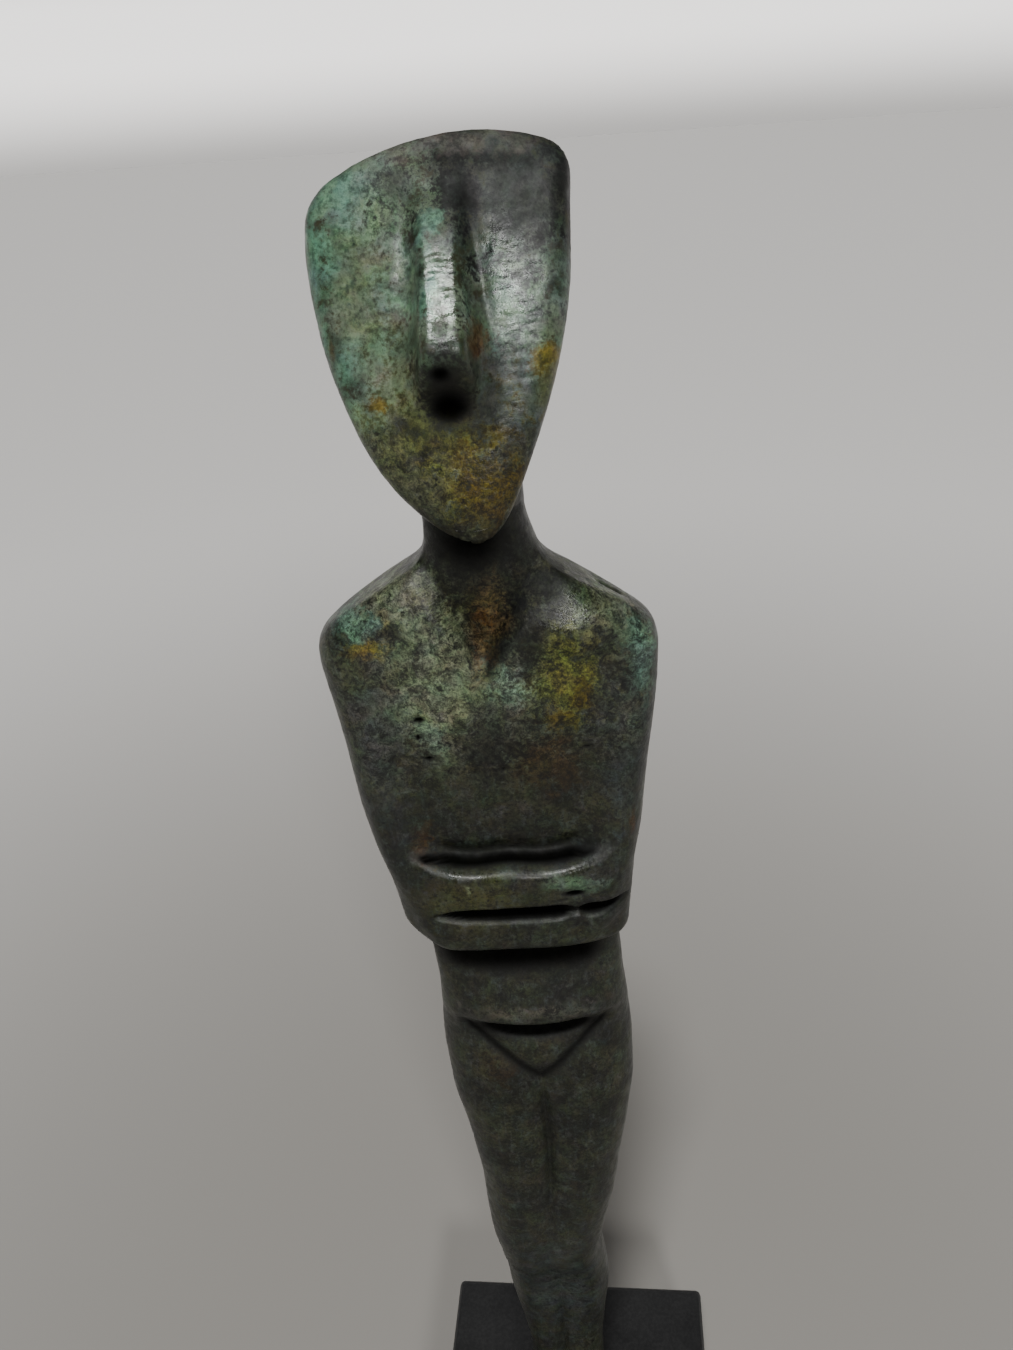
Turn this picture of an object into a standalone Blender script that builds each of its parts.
"""A small cast-bronze folded-arm figure standing on a square black plinth.

The figure is one casting, so it is one closed solid. It is described as a distance field: a function
that is negative inside the metal, zero on its skin and positive outside, built from oval sections, a
shield-shaped head and a few cuts. Rays sent out from a line inside the body find the skin, ring by ring.
The plinth is a block with softened edges.

The frame has its origin under the middle of the plinth, +Z up, and the figure faces -Y.
"""

from math import cos, hypot, radians, sin, sqrt, tan

import bmesh
import bpy
import numpy as np

# Driving sizes in metres, and angles in degrees
FIGURE_HEIGHT = 0.2160
PLINTH_WIDTH = 0.050
PLINTH_DEPTH = 0.050
PLINTH_HEIGHT = 0.025
PLINTH_EDGE_RADIUS = 0.001
PLINTH_EDGE_SEGMENTS = 3
SOLE_GAP = 0.0003
STANDS_RIGHT_OF_MIDDLE = 0.0004
LEANS_LEFT_DEGREES = 1.6
TURNS_LEFT_DEGREES = 5.0

# The figure's own proportions are shares: thousandths of its height, with x to the viewer's right,
# y backwards and z up from the sole.
SHARE = FIGURE_HEIGHT / 1000

# Torso sections: height, sideways middle, half width, front, back, squareness
TORSO = [
    (440, 5.0, 59.0, -33, 33, 2.3),
    (475, 5.0, 61.0, -32, 35, 2.3),
    (500, 5.0, 59.5, -30, 32, 2.3),
    (512, 5.5, 58.5, -31, 29, 2.3),
    (526, 5.5, 57.5, -36, 27, 2.3),
    (545, 5.0, 56.5, -34, 24, 2.4),
    (565, 4.0, 56.5, -30, 23, 2.5),
    (600, 2.0, 60.0, -28, 23, 2.6),
    (625, 1.0, 66.0, -26, 23, 2.7),
    (650, 0.6, 73.4, -26, 23, 2.8),
    (693, 0.9, 77.6, -27, 24, 2.8),
    (740, 2.0, 82.5, -29, 25, 2.7),
    (765, 0.2, 87.0, -28, 25, 2.6),
    (830, 0.2, 89.5, -24, 24, 2.5),
]
# The legs take over from the torso between these heights
HIPS_START = 440
HIPS_END = 500

# Sections of one leg: height, sideways middle of the pair, outer edge, inner edge, front, back
LEG = [
    (0, 1, 28, -6, -54, -24),
    (14, 1, 30, -6, -56, -17),
    (30, 1, 30, -6, -51, -8),
    (50, 1, 29.5, -5, -40, 6),
    (75, 0, 29, -5, -24, 19),
    (108, 0, 29.5, -8, -11, 26),
    (150, 0, 33, -9, -10, 31),
    (203, 0, 38.5, -11, -13, 34),
    (240, -1.5, 37.5, -12, -21, 30),
    (265, -4, 36.0, -13, -31, 22),
    (296, -2.5, 40.5, -14, -35, 19),
    (330, 0.5, 44.5, -14, -36, 20),
    (365, 3.5, 48.0, -14, -36, 23),
    (411, 5, 54.5, -14, -34, 28),
    (450, 5, 60.0, -14, -32, 33),
    (500, 5, 60.0, -14, -30, 33),
]
LEG_SQUARENESS = 2.3

# Shoulders slope from the neck, and the upper arms hang down the sides: height, front
SHOULDER_TOP = 813
SHOULDER_FALL = 0.60
SHOULDER_START = 30
SHOULDER_ROUNDING = 18
UPPER_ARM_FRONT = [(600, -33), (645, -33), (665, -28), (700, -23.5), (760, -21), (800, -21)]
UPPER_ARM_HALF = 13.5
UPPER_ARM_BACK = 15
UPPER_ARM_LOW = 600
UPPER_ARM_TOP = 775
UPPER_ARM_SQUARENESS = 2.5
UPPER_ARM_LOW_ROUNDING = 6
UPPER_ARM_TOP_ROUNDING = 20
UPPER_ARM_FILLET = 4

# The two forearms make one band, parted by a groove
FOREARM_TOP = 643
FOREARM_LOW = 585
FOREARM_ENDS_DROP = 3
LEFT_ELBOW_RISE = 9
LEFT_ELBOW_START = 36
LEFT_ELBOW_END = 64
FOREARM_MIDDLE = 1.6
FOREARM_HALF_AT_TOP = 71.9
FOREARM_HALF_AT_LOW = 64.5
FOREARM_FRONT = -41
FOREARM_BACK = 20
FOREARM_SQUARENESS = 2.8
FOREARM_TAPER_BELOW = 0.6
FOREARM_TOP_ROUNDING = 5
FOREARM_LOW_ROUNDING = 7
FOREARM_FILLET = 3
FOREARM_GROOVE_HEIGHT = 614.5
FOREARM_GROOVE_HALF = 2.4
FOREARM_GROOVE_DEPTH = 7.0
FOREARM_GROOVE_LEFT = -46
LEDGE_GROOVE_HEIGHT = 644
LEDGE_GROOVE_HALF = 5.0
LEDGE_GROOVE_DEPTH = 3.0
LEDGE_GROOVE_FADE_START = 46
LEDGE_GROOVE_FADE_END = 62

# Neck: height, sideways middle, half width
NECK = [(760, 4.0, 32), (800, 4.0, 31.5), (818, 3.4, 29), (850, 2.4, 26), (905, 2.4, 26)]
NECK_FRONT = -20
NECK_BACK = 22
NECK_LEAN = -0.04
NECK_TOP = 905
NECK_FOOT = 760
NECK_SQUARENESS = 2.2
NECK_FOOT_ROUNDING = 4
NECK_TOP_ROUNDING = 10
NECK_FILLET = 9

# The V-shaped collar
COLLAR_TIP = 757
COLLAR_SPREAD_DEGREES = 27
COLLAR_DEPTH = 10.0
COLLAR_WALL_START = -1.5
COLLAR_WALL_END = 5.0

# Cuts fade out towards the sides of the body, and at their ends
CUTS_START_FORWARD = 2
CUTS_FULL_FORWARD = 12
CUT_END = 8

# Belly crease, and the V at the top of the thighs
CREASE_HEIGHT = 518
CREASE_SMILE = 4
CREASE_REACH = 46
CREASE_FADE_START = 36
CREASE_FADE_END = 52
CREASE_HALF = 3.5
CREASE_DEPTH = 6.0
GROIN_TIP = 466
GROIN_RISE = 0.68
GROIN_RUN = 0.73
GROIN_HALF = 3.2
GROIN_DEPTH = 2.2
GROIN_FADE_START = 40
GROIN_FADE_END = 50

# Head: a shield tilted back, with its middle at (y, z), and shares measured in its own plane
HEAD_MIDDLE_Y = 4
HEAD_MIDDLE_Z = 938
HEAD_TILT = radians(20)
HEAD_SHIFT = -4.8
HEAD_ROLL = 0.034
CROWN_SHIFT = 4.5
CHIN_HEIGHT = 838
FACE_HALF = 57.8
WIDEST_UP = 16
JAW_LENGTH = 129
JAW_ROUNDNESS_ACROSS = 1.6
JAW_ROUNDNESS_DOWN = 1.7
WALL_STEEPNESS = 0.9
TEMPLE_TAPER = 170
CROWN_UP = 62
CROWN_PEAK_SIDE = 20
CROWN_FALL = 0.0033
RIM_ROUNDING = 10
RIM_SHARPER_BY = 3
RIM_SHARPER_FROM = -20
RIM_SHARPER_TO = 25
FACE_FORWARD = 20
FACE_FALL_ACROSS = 3.0
FACE_FALL_UP = 2.4
FACE_FALL_REACH = 80
FACE_EDGE_ROUNDING = 10
HEAD_BACKWARD = 26
BACK_FALL_ACROSS = 9
BACK_FALL_UP = 10
BACK_FALL_UP_REACH = 45
BACK_FALL_DOWN = 6
BACK_FALL_DOWN_REACH = 100
BACK_EDGE_ROUNDING = 20
HEAD_FILLET = 5

# Nose: a wedge on the face plane, with a hollow under it
NOSE_TOP = 40
NOSE_TIP = -30
NOSE_HALF = 7.3
NOSE_FLARE = 0.42
NOSE_PINCH = 0.45
NOSE_PINCH_START = -15
NOSE_PINCH_END = -55
NOSE_RISE = 22
NOSE_RISE_LIMIT = 1.1
NOSE_RIDGE_ROUNDING = 2.5
NOSE_TIP_ROUNDING = 4
NOSE_ROOT = 8
NOSE_INSIDE_RIM = 2
NOSE_FILLET = 4
HOLLOW_UP = -54
HOLLOW_HALF = 9
HOLLOW_HALF_UP = 7.2
HOLLOW_DEPTH = 4

# The line inside the body that the rays leave from: height, y
SPINE = [
    (0, -39), (14, -37), (30, -29), (50, -17), (75, -3), (108, 8), (203, 11), (268, -5), (330, -8),
    (458, 0), (600, -2), (760, -2), (800, 2), (850, 4),
]
SKULL_Y = 6
SKULL_Z = 945

# Rings: from height, to height, how many
RING_SPANS = [
    (0, 60, 5),
    (60, 450, 13),
    (450, 530, 14),
    (530, 655, 24),
    (655, 745, 5),
    (745, CHIN_HEIGHT, 13),
]
HEAD_RINGS = 26
CROWN_RINGS = 9
SOLE_RINGS = 2
COLUMNS = 44
FRONT_CROWDING = 0.35
# How far round the head the ring planes dip to the front: way up the head, degrees
RING_DIP = [(0, 0), (0.12, 16), (0.30, 34), (0.62, 22), (1.0, -20)]
# How wide a section is for its depth, which spreads the columns evenly: height, ratio
SECTION_ASPECT = [(0, 1.3), (200, 1.4), (450, 1.9), (560, 2.2), (760, 3.0), (810, 1.9), (850, 1.7),
                  (925, 1.6), (935, 1.7), (940, 2.0), (945, 2.4)]
MARCH_STEP = 4.0
MARCH_REACH = 160.0
BISECTIONS = 14
SOFT_CARVING = 1.5
SHARP_ANGLE = radians(35)

BRONZE_COLOUR = (0.045, 0.060, 0.045, 1.0)
BRONZE_ROUGHNESS = 0.38
BRONZE_METALLIC = 0.6
PLINTH_COLOUR = (0.012, 0.012, 0.013, 1.0)
PLINTH_ROUGHNESS = 0.55


def smooth_curve(at, table, column):
    """A smooth line through a table's points: cubic between each pair, with no overshoot."""
    points = np.asarray(table, float)
    x = points[:, 0]
    y = points[:, column]
    slope = np.diff(y) / np.diff(x)
    tangent = np.zeros(len(x))
    same_way = slope[:-1] * slope[1:] > 0
    tangent[1:-1][same_way] = 2 / (1 / slope[:-1][same_way] + 1 / slope[1:][same_way])
    tangent[0] = slope[0]
    tangent[-1] = slope[-1]
    at = np.clip(at, x[0], x[-1])
    span = np.clip(np.searchsorted(x, at) - 1, 0, len(slope) - 1)
    width = x[span + 1] - x[span]
    t = (at - x[span]) / width
    start = (1 + 2 * t) * (1 - t) ** 2 * y[span] + t * (1 - t) ** 2 * width * tangent[span]
    end = t * t * (3 - 2 * t) * y[span + 1] + t * t * (t - 1) * width * tangent[span + 1]
    return start + end


def join(a, b, radius):
    """Union of two solids with a fillet of about the radius between them."""
    near = np.maximum(radius - np.abs(a - b), 0) / radius
    return np.minimum(a, b) - near * near * radius / 4


def meet(a, b, radius):
    """What two solids share, with the edge between them rounded."""
    return -join(-a, -b, radius)


def ramp(x, start, end):
    """0 before start and 1 after end, with a smooth rise between."""
    t = np.clip((x - start) / (end - start), 0, 1)
    return t * t * (3 - 2 * t)


def bump(distance, half):
    """1 on a line and fading to nothing about twice the half width away from it."""
    return np.exp(-(distance / half) ** 2)


def oval(x, y, half, front, back, squareness):
    """Distance to an oval section: a circle for squareness 2, and squarer above it."""
    middle = (front + back) / 2
    deep = (back - front) / 2
    across = np.maximum(np.abs(x) / half, 1e-6)
    along = np.maximum(np.abs(y - middle) / deep, 1e-6)
    size = (across ** squareness + along ** squareness) ** (1 / squareness)
    steep_x = (across / size) ** (squareness - 1) / half
    steep_y = (along / size) ** (squareness - 1) / deep
    return (size - 1) / np.sqrt(steep_x ** 2 + steep_y ** 2)


def torso_and_legs(x, y, z, soft):
    """Torso sections cut by the collar and the sloping shoulders, with two legs below and two upper arms."""
    middle = smooth_curve(z, TORSO, 1)
    half = smooth_curve(z, TORSO, 2)
    side = np.abs(x - middle)
    front = smooth_curve(z, TORSO, 3)
    back = smooth_curve(z, TORSO, 4)
    torso = oval(side, y, half, front, back, smooth_curve(z, TORSO, 5))
    spread = radians(COLLAR_SPREAD_DEGREES)
    in_collar = (z - COLLAR_TIP) * sin(spread) - side * cos(spread)
    cut = ramp(in_collar, COLLAR_WALL_START, COLLAR_WALL_END * soft)
    torso = torso + COLLAR_DEPTH * cut * ramp(-y, CUTS_START_FORWARD, CUTS_FULL_FORWARD)
    shoulder = SHOULDER_TOP - SHOULDER_FALL * (side - SHOULDER_START)
    torso = meet(torso, (z - shoulder) / hypot(1, SHOULDER_FALL), SHOULDER_ROUNDING)
    leg_side = np.abs(x - smooth_curve(z, LEG, 1))
    outer = smooth_curve(z, LEG, 2)
    inner = smooth_curve(z, LEG, 3)
    legs = oval(leg_side - (outer + inner) / 2, y, (outer - inner) / 2,
                smooth_curve(z, LEG, 4), smooth_curve(z, LEG, 5), LEG_SQUARENESS)
    body = legs + (torso - legs) * ramp(z, HIPS_START, HIPS_END)
    arm_front = smooth_curve(z, UPPER_ARM_FRONT, 1)
    arm = oval(side - (half - UPPER_ARM_HALF), y, UPPER_ARM_HALF, arm_front, UPPER_ARM_BACK,
               UPPER_ARM_SQUARENESS)
    arm = meet(arm, UPPER_ARM_LOW - z, UPPER_ARM_LOW_ROUNDING)
    arm = meet(arm, z - UPPER_ARM_TOP, UPPER_ARM_TOP_ROUNDING)
    return join(body, arm, UPPER_ARM_FILLET)


def forearms(x, y, z):
    """A band round the front and sides, flat on top and below."""
    up = np.clip((z - FOREARM_LOW) / (FOREARM_TOP - FOREARM_LOW), -FOREARM_TAPER_BELOW, 1)
    half = FOREARM_HALF_AT_LOW + (FOREARM_HALF_AT_TOP - FOREARM_HALF_AT_LOW) * up
    side = np.abs(x - FOREARM_MIDDLE)
    low = FOREARM_LOW - FOREARM_ENDS_DROP * (side / FOREARM_HALF_AT_LOW) ** 2
    low = low + LEFT_ELBOW_RISE * ramp(-x, LEFT_ELBOW_START, LEFT_ELBOW_END)
    band = oval(side, y, half, FOREARM_FRONT, FOREARM_BACK, FOREARM_SQUARENESS)
    band = meet(band, z - FOREARM_TOP, FOREARM_TOP_ROUNDING)
    return meet(band, low - z, FOREARM_LOW_ROUNDING)


def neck(x, y, z):
    """An upright column, hidden in the chest below and in the head above."""
    forward = NECK_LEAN * (z - NECK_FOOT)
    column = oval(x - smooth_curve(z, NECK, 1), y - forward, smooth_curve(z, NECK, 2), NECK_FRONT, NECK_BACK,
                  NECK_SQUARENESS)
    column = meet(column, NECK_FOOT - z, NECK_FOOT_ROUNDING)
    return meet(column, z - NECK_TOP, NECK_TOP_ROUNDING)


def head(x, y, z, soft):
    """The shield: side walls that taper to the chin, a slanting crown, a face, a back and a nose."""
    across = x - HEAD_SHIFT - HEAD_ROLL * (z - CHIN_HEIGHT)
    up = (y - HEAD_MIDDLE_Y) * sin(HEAD_TILT) + (z - HEAD_MIDDLE_Z) * cos(HEAD_TILT)
    out = -(y - HEAD_MIDDLE_Y) * cos(HEAD_TILT) + (z - HEAD_MIDDLE_Z) * sin(HEAD_TILT)
    above = up - WIDEST_UP
    across = across - CROWN_SHIFT * (np.maximum(above, 0) / CROWN_UP) ** 2
    side = np.abs(across)
    wide = side / FACE_HALF
    below = np.maximum(-above, 0)
    taper = wide ** JAW_ROUNDNESS_ACROSS + (below / JAW_LENGTH) ** JAW_ROUNDNESS_DOWN
    taper = taper + (np.maximum(above, 0) / TEMPLE_TAPER) ** 2 + 1e-9
    size = taper ** (2 / (JAW_ROUNDNESS_ACROSS + JAW_ROUNDNESS_DOWN))
    walls = (size - 1) * FACE_HALF * WALL_STEEPNESS
    off_peak = across - CROWN_PEAK_SIDE
    crown = (up - CROWN_UP + CROWN_FALL * off_peak ** 2) / np.hypot(1, 2 * CROWN_FALL * off_peak)
    sharper = RIM_SHARPER_BY * ramp(across, RIM_SHARPER_FROM, RIM_SHARPER_TO)
    rim = meet(walls, crown, RIM_ROUNDING - sharper)
    face = FACE_FORWARD - FACE_FALL_ACROSS * wide ** 2 - FACE_FALL_UP * (above / FACE_FALL_REACH) ** 2
    back = HEAD_BACKWARD - BACK_FALL_ACROSS * wide ** 2
    back = back - BACK_FALL_UP * (np.maximum(above, 0) / BACK_FALL_UP_REACH) ** 2
    back = back - BACK_FALL_DOWN * (below / BACK_FALL_DOWN_REACH) ** 2
    shield = meet(rim, out - face, FACE_EDGE_ROUNDING)
    shield = meet(shield, -out - back, BACK_EDGE_ROUNDING)

    proud = out - face
    rise = NOSE_RISE * np.clip((NOSE_TOP - up) / (NOSE_TOP - NOSE_TIP), 0, NOSE_RISE_LIMIT)
    flare = NOSE_FLARE * (1 - NOSE_PINCH * (1 - ramp(up, NOSE_PINCH_END, NOSE_PINCH_START)))
    nose_wall = (side - NOSE_HALF - flare * (rise - proud)) / hypot(1, NOSE_FLARE)
    nose = meet(proud - rise, nose_wall, NOSE_RIDGE_ROUNDING)
    underside = (NOSE_TIP - up + proud - rise) / sqrt(2)
    nose = meet(nose, underside, NOSE_TIP_ROUNDING)
    nose = np.maximum(np.maximum(nose, -proud - NOSE_ROOT), rim + NOSE_INSIDE_RIM)
    hollow = bump(side, HOLLOW_HALF) * bump(up - HOLLOW_UP, HOLLOW_HALF_UP)
    return join(shield, nose, NOSE_FILLET) + HOLLOW_DEPTH * soft * hollow * (out > 0)


def carving(x, y, z, soft):
    """How far the cuts on the front sink the skin: the sum of a depth times a fade for each cut."""
    on_front = ramp(-y, CUTS_START_FORWARD, CUTS_FULL_FORWARD)
    side = np.abs(x - smooth_curve(z, TORSO, 1))
    arm_side = np.abs(x - FOREARM_MIDDLE)
    groove = bump(z - FOREARM_GROOVE_HEIGHT, FOREARM_GROOVE_HALF * soft)
    groove = groove * ramp(x, FOREARM_GROOVE_LEFT - CUT_END, FOREARM_GROOVE_LEFT)
    ledge = bump(z - LEDGE_GROOVE_HEIGHT, LEDGE_GROOVE_HALF)
    ledge = ledge * (1 - ramp(arm_side, LEDGE_GROOVE_FADE_START, LEDGE_GROOVE_FADE_END))
    crease_line = z - CREASE_HEIGHT + CREASE_SMILE * (1 - (side / CREASE_REACH) ** 2)
    crease = bump(crease_line, CREASE_HALF) * (1 - ramp(side, CREASE_FADE_START, CREASE_FADE_END))
    groin_line = (z - GROIN_TIP) * GROIN_RISE - side * GROIN_RUN
    groin = bump(groin_line, GROIN_HALF) * (1 - ramp(side, GROIN_FADE_START, GROIN_FADE_END))
    groin = groin * ramp(z, GROIN_TIP - CUT_END, GROIN_TIP)
    cuts = FOREARM_GROOVE_DEPTH * groove + LEDGE_GROOVE_DEPTH * ledge
    cuts = cuts + CREASE_DEPTH * crease + GROIN_DEPTH * groin
    return cuts * on_front


def figure(points, soft):
    """The whole figure's distance field, in shares; soft widens the cuts to suit a coarse mesh."""
    x = points[..., 0]
    y = points[..., 1]
    z = points[..., 2]
    body = join(torso_and_legs(x, y, z, soft), forearms(x, y, z), FOREARM_FILLET)
    body = join(body, neck(x, y, z), NECK_FILLET)
    body = join(body, head(x, y, z, soft), HEAD_FILLET)
    return body + carving(x, y, z, soft)


def ring_centres():
    """Each ring's centre (y, z), the dip of its plane, its cone angle and how full it is.

    Rings climb the spine, tip forward under the jaw and back up the head, and close as cones round
    the crown. The first ones lie in the sole and grow from its middle.
    """
    spans = [np.linspace(low, high, count, endpoint=False) for low, high, count in RING_SPANS]
    heights = np.concatenate(spans)
    neck_top = RING_SPANS[-1][1]
    way = np.arange(HEAD_RINGS + 1) / HEAD_RINGS
    start_y = smooth_curve(np.array([neck_top]), SPINE, 1)[0]
    dips = np.asarray(RING_DIP, float)
    sole = np.zeros(SOLE_RINGS)
    body = np.zeros(len(heights))
    crown = np.arange(1, CROWN_RINGS) / CROWN_RINGS
    y = np.concatenate([
        smooth_curve(sole, SPINE, 1), smooth_curve(heights, SPINE, 1),
        start_y + (SKULL_Y - start_y) * way, SKULL_Y + 0 * crown])
    z = np.concatenate([sole, heights, neck_top + (SKULL_Z - neck_top) * way, SKULL_Z + 0 * crown])
    dip = np.concatenate([sole, body, np.interp(way, dips[:, 0], dips[:, 1]), dips[-1, 1] + 0 * crown])
    cone = np.concatenate([sole, body, 0 * way, 90 * crown])
    grown = np.arange(1, SOLE_RINGS + 1) / (SOLE_RINGS + 1)
    full = np.concatenate([grown, 1 + body, 1 + 0 * way, 1 + 0 * crown])
    return y, z, np.radians(dip), np.radians(cone), full


def find_skin(start, direction, soft):
    """Walks each ray out to the first step outside the metal, then halves that step again and again."""
    shape = direction.shape[:-1]
    near = np.zeros(shape)
    far = np.full(shape, MARCH_REACH)
    found = np.zeros(shape, bool)
    for distance in np.arange(MARCH_STEP, MARCH_REACH, MARCH_STEP):
        outside = (figure(start + direction * distance, soft) > 0) & ~found
        far[outside] = distance
        near[outside] = distance - MARCH_STEP
        found |= outside
    for _ in range(BISECTIONS):
        middle = (near + far) / 2
        inside = figure(start + direction * middle[..., None], soft) < 0
        near = np.where(inside, middle, near)
        far = np.where(inside, far, middle)
    return (near + far) / 2


def figure_skin(soft):
    """Rings of points on the skin, with the points at the sole's middle and on the crown, in shares."""
    y, z, dip, cone, full = ring_centres()
    step = np.arange(COLUMNS) / COLUMNS
    turn = 2 * np.pi * step - FRONT_CROWDING * np.sin(2 * np.pi * step)
    aspect = smooth_curve(z, SECTION_ASPECT, 1)[:, None]
    across = aspect * np.sin(turn)
    along = np.broadcast_to(np.cos(turn), across.shape)
    size = np.hypot(across, along)
    across = across / size * np.cos(cone)[:, None]
    along = along / size * np.cos(cone)[:, None]
    rise = np.sin(cone)[:, None]
    sin_dip = np.sin(dip)[:, None]
    cos_dip = np.cos(dip)[:, None]
    direction = np.stack([across, -along * cos_dip - rise * sin_dip, -along * sin_dip + rise * cos_dip], -1)
    start = np.stack([0 * y, y, z], -1)[:, None, :]
    reach = find_skin(start, direction, soft) * full[:, None]
    rings = start + direction * reach[..., None]
    up = np.array([0, -sin(dip[-1]), cos(dip[-1])])
    skull = np.array([0, SKULL_Y, SKULL_Z], float)
    crown = skull + up * find_skin(skull[None], up[None], soft)[0]
    sole = np.array([0, y[0], 0.0])
    return rings, sole, crown


def lean(points):
    """Shares to metres, with each point moved to the viewer's left in step with its height."""
    metres = points * SHARE
    metres[..., 0] -= metres[..., 2] * tan(radians(LEANS_LEFT_DEGREES))
    return metres


def skin_faces(rings, soft):
    """Two triangles for each cell, cut along the diagonal whose middle lies nearer the true skin."""
    count, columns = rings.shape[:2]
    index = np.arange(count * columns).reshape(count, columns)
    a = index[:-1]
    b = np.roll(index, -1, 1)[:-1]
    c = np.roll(index, -1, 1)[1:]
    d = index[1:]
    flat = rings.reshape(-1, 3)
    off_ac = np.abs(figure((flat[a] + flat[c]) / 2, soft))
    off_bd = np.abs(figure((flat[b] + flat[d]) / 2, soft))
    keep = (off_ac <= off_bd)[..., None]
    first = np.where(keep, np.stack([a, b, c], -1), np.stack([a, b, d], -1))
    second = np.where(keep, np.stack([a, c, d], -1), np.stack([b, c, d], -1))
    sole_point = count * columns
    crown_point = sole_point + 1
    low = np.stack([np.roll(index[0], -1), index[0], np.full(columns, sole_point)], -1)
    high = np.stack([index[-1], np.roll(index[-1], -1), np.full(columns, crown_point)], -1)
    return np.concatenate([first.reshape(-1, 3), second.reshape(-1, 3), low, high])


def plain_material(name, colour, roughness, metallic):
    """A Principled BSDF with one colour, roughness and metallic value."""
    material = bpy.data.materials.new(name)
    material.use_nodes = True
    shader = material.node_tree.nodes["Principled BSDF"]
    shader.inputs["Base Color"].default_value = colour
    shader.inputs["Roughness"].default_value = roughness
    shader.inputs["Metallic"].default_value = metallic
    material.diffuse_color = colour
    return material


def make_figure(collection):
    """The bronze casting, standing on the plinth with a hair's gap."""
    rings, sole, crown = figure_skin(SOFT_CARVING)
    faces = skin_faces(rings, SOFT_CARVING)
    points = lean(np.concatenate([rings.reshape(-1, 3), [sole, crown]]))
    mesh = bpy.data.meshes.new("bronze_figure")
    mesh.from_pydata(points.tolist(), [], faces.tolist())
    mesh.shade_smooth()
    mesh.set_sharp_from_angle(angle=SHARP_ANGLE)
    mesh.materials.append(plain_material("bronze", BRONZE_COLOUR, BRONZE_ROUGHNESS, BRONZE_METALLIC))
    casting = bpy.data.objects.new("bronze_figure", mesh)
    casting.location = (STANDS_RIGHT_OF_MIDDLE, 0, PLINTH_HEIGHT + SOLE_GAP)
    casting.rotation_euler = (0, 0, radians(TURNS_LEFT_DEGREES))
    collection.objects.link(casting)
    return casting


def make_plinth(collection):
    """A block with softened edges, standing on the frame's origin."""
    mesh = bpy.data.meshes.new("plinth")
    cage = bmesh.new()
    bmesh.ops.create_cube(cage, size=1)
    bmesh.ops.scale(cage, vec=(PLINTH_WIDTH, PLINTH_DEPTH, PLINTH_HEIGHT), verts=cage.verts)
    cage.to_mesh(mesh)
    cage.free()
    mesh.materials.append(plain_material("black_stone", PLINTH_COLOUR, PLINTH_ROUGHNESS, 0))
    block = bpy.data.objects.new("plinth", mesh)
    block.location = (0, 0, PLINTH_HEIGHT / 2)
    edge = block.modifiers.new("softened edges", "BEVEL")
    edge.width = PLINTH_EDGE_RADIUS
    edge.segments = PLINTH_EDGE_SEGMENTS
    edge.limit_method = "ANGLE"
    mesh.shade_smooth()
    mesh.set_sharp_from_angle(angle=SHARP_ANGLE)
    collection.objects.link(block)
    return block


def main():
    for thing in list(bpy.data.objects):
        bpy.data.objects.remove(thing, do_unlink=True)
    collection = bpy.data.collections.new("folded_arm_figure")
    bpy.context.scene.collection.children.link(collection)
    make_plinth(collection)
    make_figure(collection)


main()
